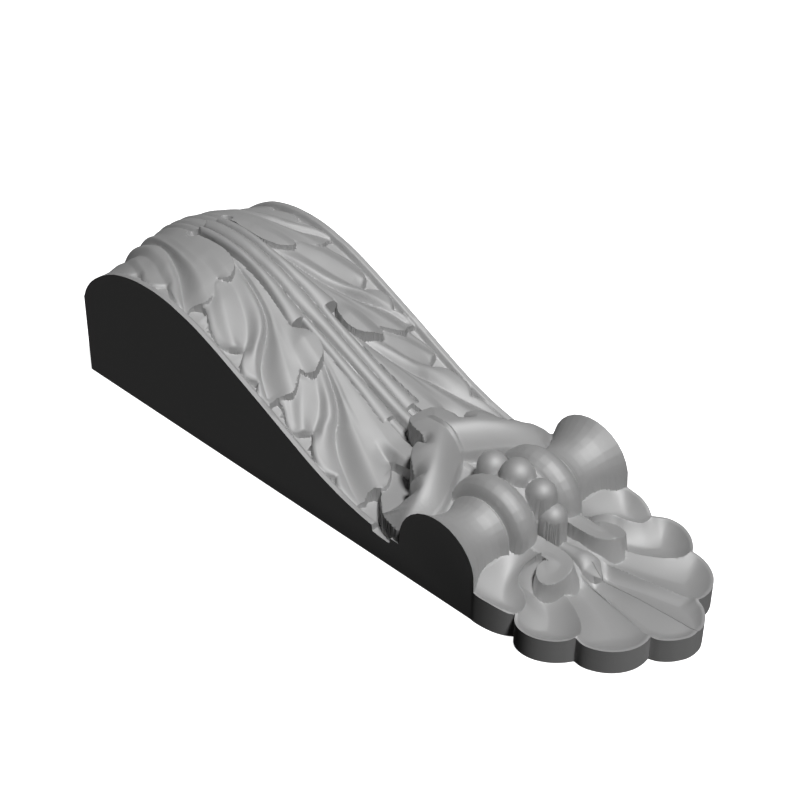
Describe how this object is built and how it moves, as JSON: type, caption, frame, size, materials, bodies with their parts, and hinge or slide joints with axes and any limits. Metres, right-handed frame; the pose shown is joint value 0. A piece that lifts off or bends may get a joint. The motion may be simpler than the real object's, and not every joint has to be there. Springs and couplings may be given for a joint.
{
  "type": "decorative bracket",
  "caption": "Long carved corbel: a thick end with a three-tier acanthus leaf that slopes to a calyx, a turned baluster with beads and a fluted scallop shell tip.",
  "frame": {"origin": "on the flat back, under the middle of the length, in the plane of symmetry", "axes": "+X along the length from the thick end, which is uppermost on a wall, to the shell's tip; +Y across the width; +Z out of the flat back towards the carved face"},
  "size_m": [0.3028, 0.09, 0.073],
  "materials": {
    "primed_grey": "satin"
  },
  "bodies": {
    "root": {"acanthus_bracket": "primed_grey"}
  },
  "joints": []
}
